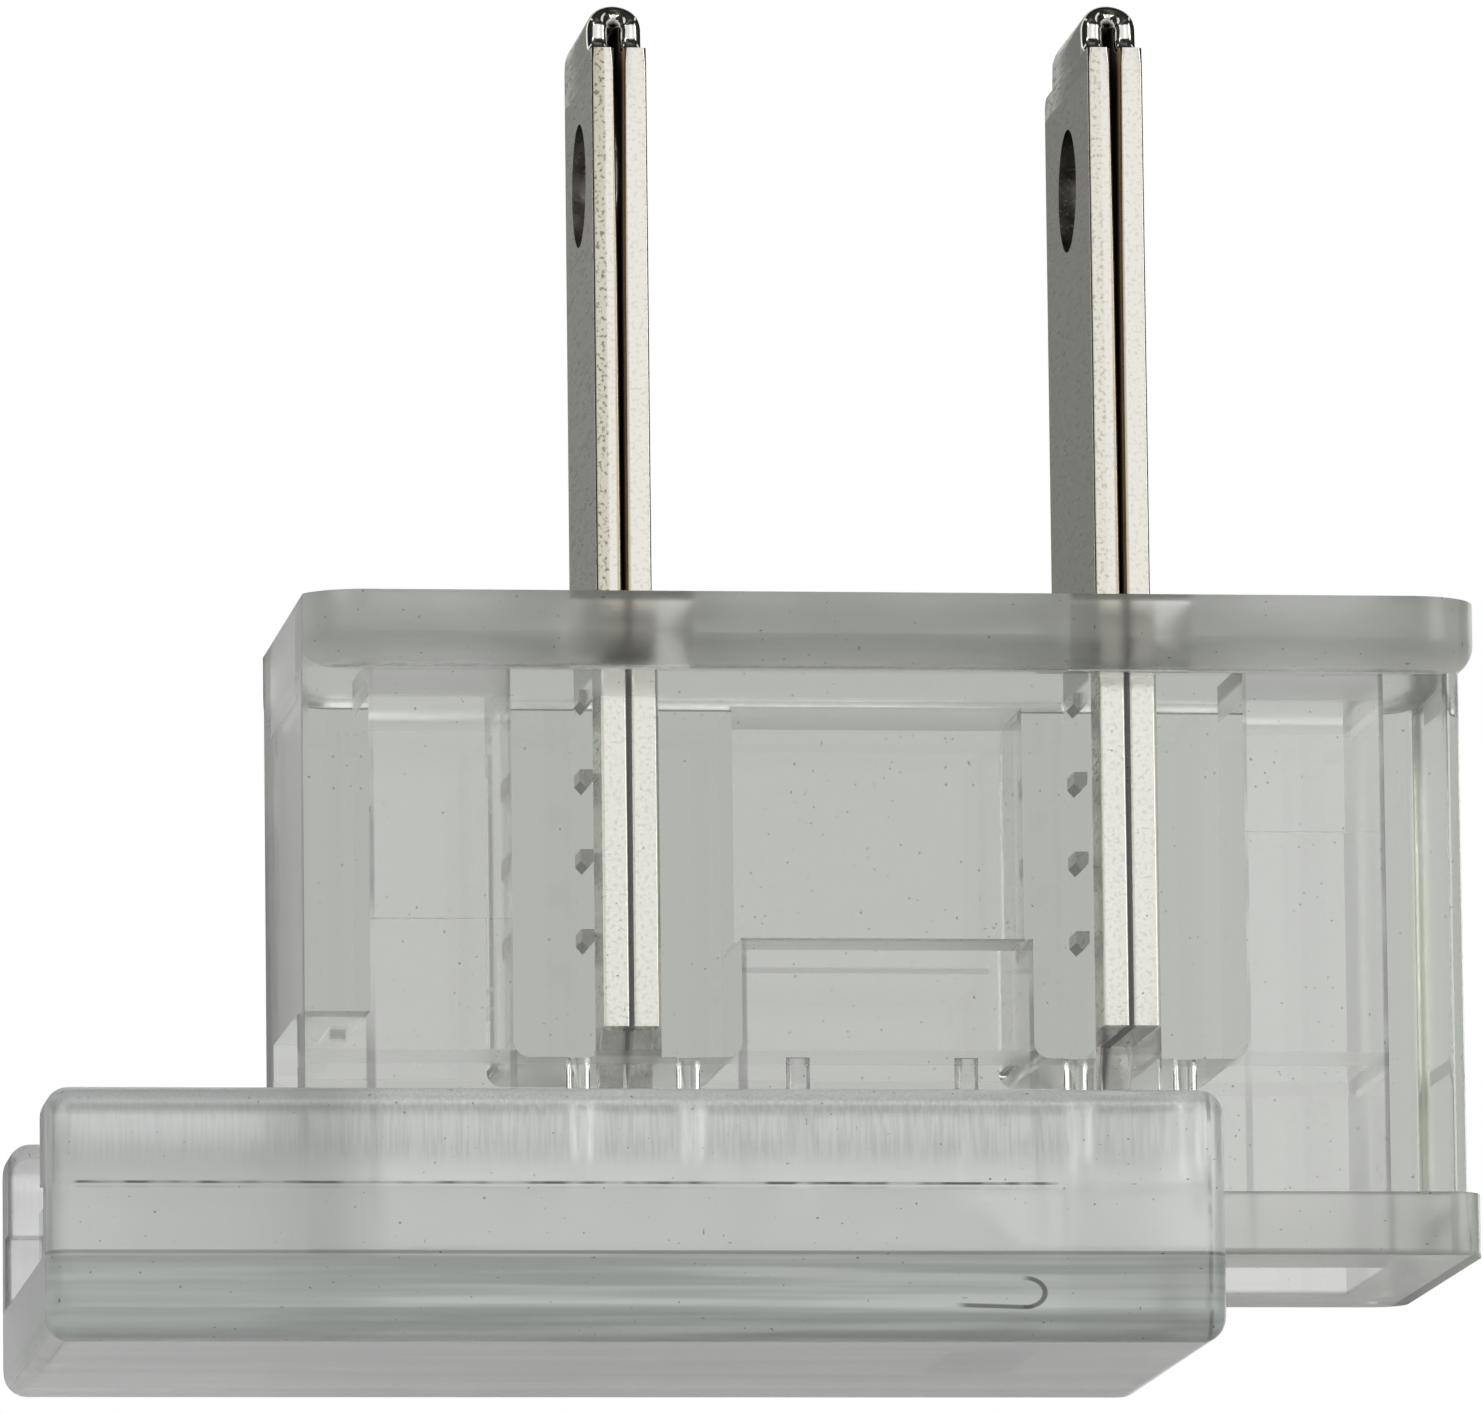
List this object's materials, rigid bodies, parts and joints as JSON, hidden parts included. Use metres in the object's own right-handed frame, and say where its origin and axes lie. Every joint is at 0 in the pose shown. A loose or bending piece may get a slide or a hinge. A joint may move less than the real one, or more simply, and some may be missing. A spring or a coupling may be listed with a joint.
{
  "type": "slide-on type a plug",
  "caption": "Clear polarised flat-blade mains plug for flat cord, with folded plated blades and a clear cover that slides along rails at its foot to press the cord onto the blade points.",
  "frame": {"origin": "on the plug face, midway between the two blades", "axes": "+Z along the blades away from the plug face, +X from the cord entry to the closed end, +Y from the front to the back"},
  "size_m": [0.0367, 0.0158, 0.035],
  "materials": {
    "body_plastic": "clear polished moulding",
    "cover_plastic": "clear moulding with a cool tint and fine draw marks",
    "plated_strip": "nickel plated, lightly scuffed"
  },
  "bodies": {
    "plug": {"plug_body": "body_plastic", "narrow_blade": "plated_strip", "wide_blade": "plated_strip"},
    "cover": {"slide_cover": "cover_plastic"}
  },
  "joints": [
    {"name": "cover_slide", "type": "slide", "parent": "plug", "child": "cover", "axis": [1, 0, 0], "range_m": [-0.024, 0.0067]}
  ]
}
